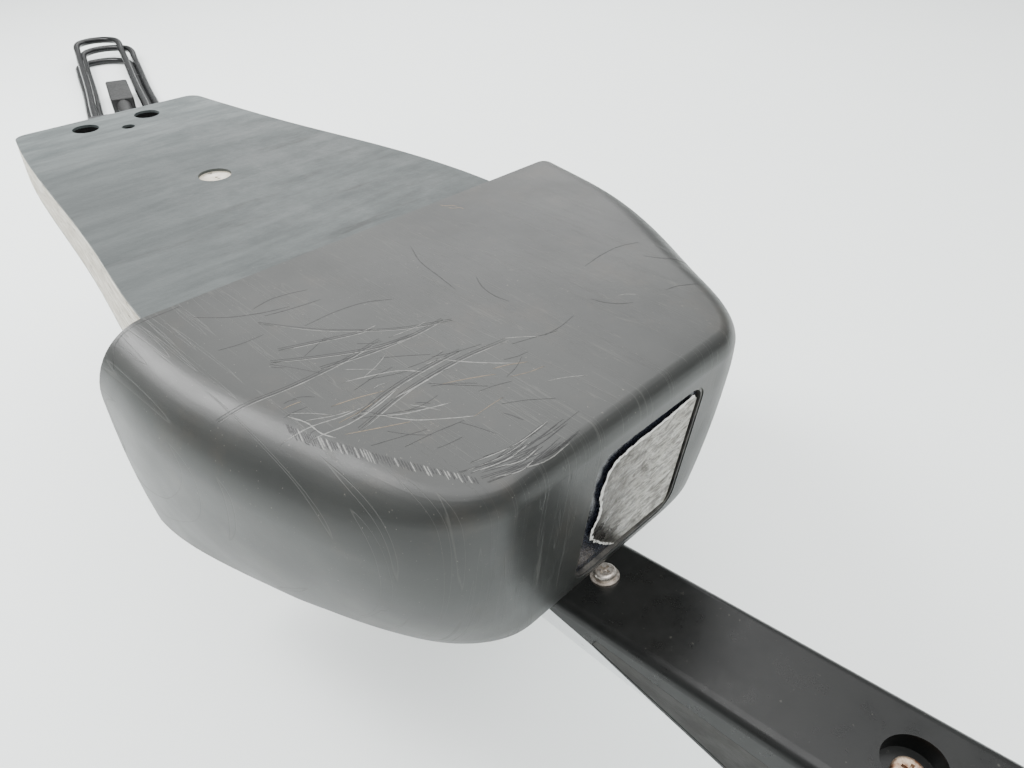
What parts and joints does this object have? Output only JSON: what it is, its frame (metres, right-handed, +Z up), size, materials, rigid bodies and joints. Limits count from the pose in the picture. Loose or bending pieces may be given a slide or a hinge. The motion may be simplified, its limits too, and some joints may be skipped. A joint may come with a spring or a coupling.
{
  "type": "trolling motor",
  "caption": "Deck-mount electric trolling motor: mounting board, folding flat-topped head, arm, steering tube, motor pod with propeller, and a power cord in a hank.",
  "frame": {"origin": "midway between the two deck bolt holes, level with the flat underside of the mounting board", "axes": "+X from the board towards the motor pod along the steering tube, +Y across, +Z up out of the board's top"},
  "size_m": [1.8556, 0.4489, 0.156],
  "materials": {
    "cowl_plastic": "satin charcoal moulding, scuffed",
    "skin_rubber": "weathered blue-grey rubber sheet",
    "core_wood": "raw sawn edge",
    "arm_black": "satin black",
    "panel_black": "matt black",
    "shell_silver": "satin silver",
    "tube_metal": "drawn tube, satin",
    "plain_steel": "zinc plated",
    "nickel_screw": "nickel plated, dulled",
    "aged_screw": "bronzed and rust-spotted",
    "label_foil": "crumpled worn foil",
    "label_black": "gloss",
    "label_rim": "thin bright rim",
    "cast_metal": "die cast",
    "bush_plastic": "acetal",
    "motor_can": "plated can",
    "gear_plastic": "nylon",
    "gear_steel": "hobbed steel",
    "circuit_green": "laminate",
    "box_black": "fine texture",
    "rocker_black": "gloss",
    "pod_paint": "black enamel",
    "pod_plastic": "moulded",
    "magnet": "ferrite",
    "copper_winding": "enamelled copper",
    "brass": "turned brass",
    "seal_rubber": "nitrile",
    "prop_plastic": "glass-filled nylon",
    "shaft_steel": "ground stainless",
    "cable_black": "glossy PVC sheath",
    "tie_black": "hook and loop strap",
    "plug_grey": "moulded grey"
  },
  "bodies": {
    "board": {"board_core": "core_wood", "board_top_skin": "skin_rubber", "board_under_skin": "skin_rubber", "hinge_bracket": "plain_steel", "bracket_bolts": "plain_steel", "hinge_pin": "shaft_steel", "cable_box": "box_black", "cable_box_lid": "box_black", "cable_box_screws": "nickel_screw", "cable_gland": "seal_rubber", "fuse_block": "bush_plastic", "power_cord": "cable_black", "cord_hank": "cable_black", "cord_tie": "tie_black", "battery_plug": "plug_grey"},
    "knob": {"tilt_knob": "box_black"},
    "rocker": {"power_rocker": "rocker_black"},
    "head": {"top_cowl": "cowl_plastic", "lower_cowl": "cowl_plastic", "cowl_screws": "nickel_screw", "label_bezel": "label_rim", "label_backing": "label_black", "label_foil": "label_foil", "head_chassis": "cast_metal", "hinge_bushes": "brass", "tube_bushes": "bush_plastic", "steering_motor": "motor_can", "control_board": "circuit_green", "board_posts": "bush_plastic", "heat_sink": "cast_metal", "arm_cover": "arm_black", "arm_panel_left": "panel_black", "arm_panel_right": "panel_black", "arm_lower_shell": "shell_silver", "root_washer": "nickel_screw", "root_screw": "nickel_screw", "tip_screws": "aged_screw", "arm_collar": "panel_black", "collar_bush": "bush_plastic"},
    "pinion": {"steering_pinion": "gear_steel"},
    "motor_unit": {"steering_gear": "gear_plastic", "steering_tube": "tube_metal", "pod_barrel": "pod_paint", "pod_neck": "pod_plastic", "nose_cone": "pod_plastic", "tail_bell": "pod_plastic", "pod_bearings": "shaft_steel", "shaft_seal": "seal_rubber", "magnets": "magnet", "brush_holders": "bush_plastic", "skeg": "pod_plastic", "pod_bolts": "nickel_screw"},
    "rotor": {"prop_shaft": "shaft_steel", "armature": "copper_winding", "commutator": "brass", "propeller": "prop_plastic", "drive_pin": "shaft_steel", "prop_nut": "plain_steel"}
  },
  "joints": [
    {"name": "fold", "type": "hinge", "parent": "board", "child": "head", "pos_m": [0.214, 0, -0.0385], "axis": [0, 1, 0], "range_deg": [0, 90]},
    {"name": "tilt_knob_turn", "type": "hinge", "parent": "board", "child": "knob", "pos_m": [0.214, 0.045, -0.0385], "axis": [0, 1, 0], "continuous": true},
    {"name": "power_switch", "type": "hinge", "parent": "board", "child": "rocker", "pos_m": [0.09, 0.028, -0.015], "axis": [1, 0, 0], "range_deg": [0, 16]},
    {"name": "steer", "type": "hinge", "parent": "head", "child": "motor_unit", "pos_m": [0.308, 0, -0.0945], "axis": [1, 0, 0], "range_deg": [-170, 170]},
    {"name": "pinion_spin", "type": "hinge", "parent": "head", "child": "pinion", "pos_m": [0.298, 0, -0.0505], "axis": [1, 0, 0], "range_deg": [-370, 370]},
    {"name": "propeller_spin", "type": "hinge", "parent": "motor_unit", "child": "rotor", "pos_m": [0.968, 0, -0.0945], "axis": [0, 1, 0], "continuous": true}
  ],
  "couplings": [
    {"joint": "pinion_spin", "follows": "steer", "ratio": -2.1429}
  ]
}
